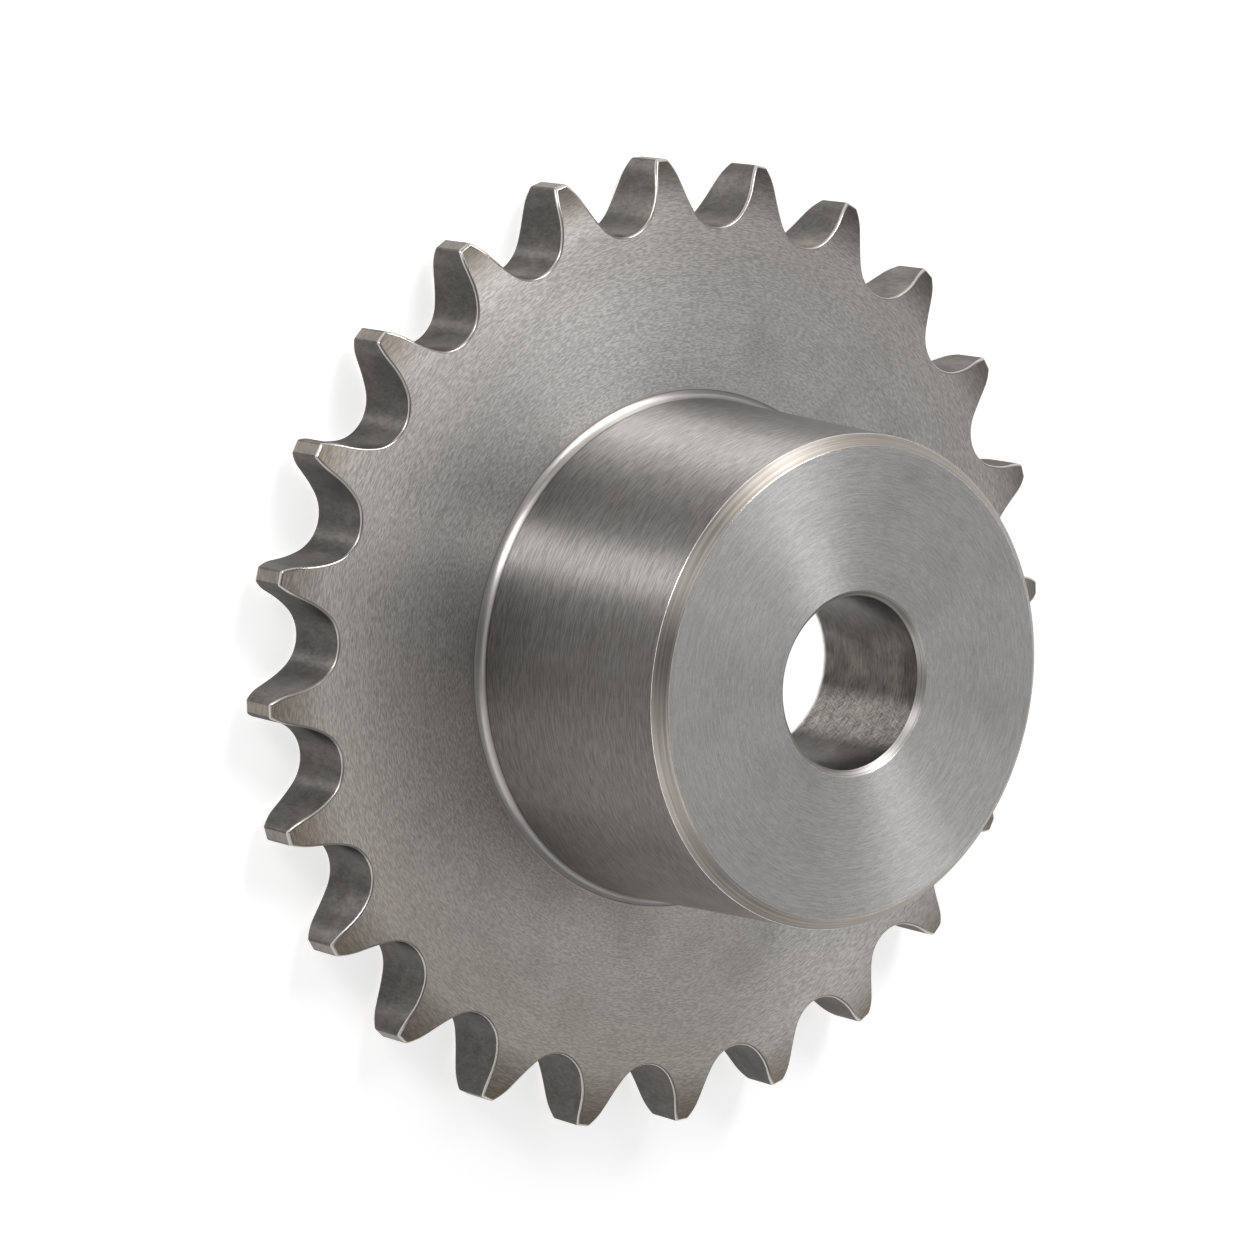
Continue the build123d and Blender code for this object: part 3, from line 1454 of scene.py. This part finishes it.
@dataclass(frozen=True)
class Softbox:
    """A soft lamp, placed by its direction from the sprocket.

    Attributes:
        name: The lamp's name.
        azimuth: Direction in degrees, anticlockwise from +X.
        elevation: Height above the floor in degrees.
        width: Width in metres.
        height: Height in metres.
        glow: Brightness of its face, where 1 is white.
        distance: Distance in metres.
    """

    name: str
    azimuth: float
    elevation: float
    width: float
    height: float
    glow: float
    distance: float = 1.4

    def hang(self, target: Vector) -> bpy.types.Object:
        """Makes the lamp and turns it to the target.

        Args:
            target: The point that it faces, in metres.

        Returns:
            The lamp.
        """
        lamp = bpy.data.lights.new(self.name, "AREA")
        lamp.shape = "RECTANGLE"
        lamp.size, lamp.size_y = self.width, self.height
        lamp.energy = self.glow * math.pi * self.width * self.height
        holder = bpy.data.objects.new(self.name, lamp)
        bpy.context.scene.collection.objects.link(holder)
        azimuth, elevation = math.radians(self.azimuth), math.radians(self.elevation)
        level = math.cos(elevation)
        way = Vector((math.cos(azimuth) * level, math.sin(azimuth) * level, math.sin(elevation)))
        holder.location = target + way * self.distance
        holder.rotation_mode = "QUATERNION"
        holder.rotation_quaternion = (-way).to_track_quat("-Z", "Y")
        return holder


@dataclass(frozen=True)
class Studio:
    """A pale floor, soft lamps and plain surroundings, with sizes in metres.

    Attributes:
        boxes: The lamps.
        aim_height: Height above the floor that the lamps face.
        floor_size: Width of the floor.
        floor_colour: Colour of the floor.
        floor_roughness: Roughness of the floor.
        floor_glow: How brightly the floor glows near the sprocket where it is seen or mirrored.
        far_glow: How brightly it glows far off.
        far_from: Distance from the bore's axis at which the glow begins to rise.
        far_at: Distance at which it is fully risen.
        painted_bore_glow: How brightly the floor glows under the bore, a painted glow seen through the bore
            and in its bright wall.
        bore_reach: How far from the axis it does so.
        surround: Brightness of the surroundings overhead.
        wall: Their brightness low down.
        wall_full: Height up to which they have it, in degrees.
        wall_top: Height at which it has faded to the overhead one, in degrees.
    """

    boxes: tuple[Softbox, ...]
    aim_height: float = 0.03
    floor_size: float = 12.0
    floor_colour: Colour = (0.72, 0.72, 0.72)
    floor_roughness: float = 0.9
    floor_glow: float = 0.66
    far_glow: float = 0.95
    far_from: float = 0.5
    far_at: float = 2.5
    painted_bore_glow: float = 1.0
    bore_reach: float = 0.02
    surround: float = 0.14
    wall: float = 1.0
    wall_full: float = 7.0
    wall_top: float = 16.0

    def build(self) -> None:
        """Lays the floor, hangs the lamps and sets the surroundings."""
        self._floor()
        for box in self.boxes:
            box.hang(Vector((0.0, 0.0, self.aim_height)))
            log.info("lamp %s", box.name)
        self._surroundings()

    def _floor(self) -> None:
        """Lays the floor, which glows a little wherever it is seen or mirrored."""
        half = self.floor_size / 2
        mesh = bpy.data.meshes.new("floor")
        corners = [(-half, -half, 0), (half, -half, 0), (half, half, 0), (-half, half, 0)]
        mesh.from_pydata(corners, [], [(0, 1, 2, 3)])
        mesh.materials.append(self._floor_material())
        floor = bpy.data.objects.new("floor", mesh)
        bpy.context.scene.collection.objects.link(floor)

    def _floor_material(self) -> bpy.types.Material:
        """The floor's pale matt material and its glow.

        Returns:
            The material.
        """
        material = bpy.data.materials.new("pale_floor")
        material.use_nodes = True
        graph = Graph(material.node_tree)
        path = graph.add("LightPath").outputs
        seen = graph.maths("MAXIMUM", path["Is Camera Ray"], path["Is Glossy Ray"])
        seen = graph.maths("MAXIMUM", seen, path["Is Transmission Ray"])
        reach = graph.vector("LENGTH", graph.add("TexCoord").outputs["Object"])
        glow = graph.span(reach, self.far_from, self.far_at, self.floor_glow, self.far_glow, smooth=True)
        # Painted glow on the floor under the bore, brighter than the floor round it, seen through the bore
        # and in its bright wall
        painted_glow_under_bore = graph.span(reach, self.bore_reach, 2 * self.bore_reach, self.painted_bore_glow, 0.0)
        glow = graph.maths("MAXIMUM", glow, painted_glow_under_bore)
        shader = graph.add("BsdfPrincipled")
        shader.inputs["Base Color"].default_value = rgba(self.floor_colour)
        shader.inputs["Roughness"].default_value = self.floor_roughness
        shader.inputs["Specular IOR Level"].default_value = 0.0
        shader.inputs["Emission Color"].default_value = rgba(WHITE)
        graph.plug(graph.maths("MULTIPLY", seen, glow), shader.inputs["Emission Strength"])
        graph.plug(shader.outputs[0], graph.add("OutputMaterial").inputs["Surface"])
        return material

    def _surroundings(self) -> None:
        """Sets the light that comes from all round, brighter low down."""
        world = bpy.data.worlds.new("studio")
        bpy.context.scene.world = world
        world.use_nodes = True
        graph = Graph(world.node_tree)
        parts = graph.add("SeparateXYZ")
        graph.plug(graph.add("TexCoord").outputs["Generated"], parts.inputs[0])
        low, top = (math.sin(math.radians(angle)) for angle in (self.wall_full, self.wall_top))
        level = graph.span(parts.outputs[2], low, top, self.wall, self.surround, smooth=True)
        background = graph.add("Background")
        background.inputs["Color"].default_value = rgba(WHITE)
        graph.plug(level, background.inputs["Strength"])
        graph.plug(background.outputs[0], graph.add("OutputWorld").inputs["Surface"])


@dataclass(frozen=True)
class PhotoCamera:
    """The camera, placed by how the plate's front face lies in the picture.

    Attributes:
        plate_height: Height of the plate's front face above the floor, in metres.
        focal_pixels: Focal length in pixels of the picture.
        picture_width: Width of the picture in pixels.
        off_axis: Angle between the view and the bore's axis, in degrees.
        axis_dip: How far below level the axis points in the picture, in degrees.
        turn: Angle from the lowest point of the plate's rim to +X, in degrees.
        right: Distance of the plate's centre to the right of the view's middle, in metres.
        down: The same, downwards.
        distance: Distance of the plate's centre along the view, in metres.
        sensor: Width of the camera's sensor, in millimetres.
    """

    plate_height: float
    focal_pixels: float = 5943.7
    picture_width: float = 1254.0
    off_axis: float = 38.958
    axis_dip: float = 11.404
    turn: float = 6.362
    right: float = 0.008797
    down: float = 0.003455
    distance: float = 0.94222
    sensor: float = 36.0

    def mount(self) -> bpy.types.Object:
        """Makes the camera and makes it the scene's own.

        Returns:
            The camera.
        """
        lean, dip, turn = (math.radians(angle) for angle in (self.off_axis, self.axis_dip, self.turn))
        axis = Vector((math.sin(lean) * math.cos(dip), math.sin(lean) * math.sin(dip), -math.cos(lean)))
        low = Vector((-math.sin(dip), math.cos(dip), 0.0))
        near = Vector((-math.cos(lean) * math.cos(dip), -math.cos(lean) * math.sin(dip), -math.sin(lean)))
        across = low * math.cos(turn) + near * math.sin(turn)
        basis = Matrix((across, axis.cross(across), axis))
        centre = Vector((self.right, self.down, self.distance))
        right, down, away = (basis.col[i] for i in range(3))
        data = bpy.data.cameras.new("camera")
        data.sensor_width = self.sensor
        data.lens = self.sensor * self.focal_pixels / self.picture_width
        camera = bpy.data.objects.new("camera", data)
        bpy.context.scene.collection.objects.link(camera)
        camera.location = Vector((0.0, 0.0, self.plate_height)) - basis @ centre
        camera.rotation_mode = "QUATERNION"
        camera.rotation_quaternion = Matrix((right, -down, -away)).transposed().to_quaternion()
        bpy.context.scene.camera = camera
        return camera


def main() -> None:
    """Builds the sprocket, the studio and the camera."""
    logging.basicConfig(level=logging.INFO, format="%(name)s: %(message)s")
    teeth = ChainTeeth()
    plate = ToothedPlate(teeth)
    hub = TurnedHub(teeth, plate.plain_radius - JOINING_BAND)
    piece = SprocketBody(plate, hub).build()
    log.info("%s: %d faces, %d finishes", piece.name, len(piece.data.polygons), len(piece.data.materials))
    Studio(
        boxes=(
            Softbox("key", azimuth=183.0, elevation=38.0, width=0.54, height=0.75, glow=8.0),
            Softbox("strip", azimuth=-109.0, elevation=17.0, width=0.36, height=0.6, glow=9.5),
            Softbox("back_card", azimuth=96.4, elevation=62.0, width=1.2, height=1.7, glow=0.43),
            Softbox("low_card", azimuth=-27.0, elevation=30.0, width=1.0, height=0.45, glow=1.4),
        )
    ).build()
    camera = PhotoCamera(teeth.width * MM).mount()
    log.info("%s: lens %.1f mm", camera.name, camera.data.lens)
    bpy.context.scene.view_settings.view_transform = "Standard"


if __name__ == "__main__":
    main()
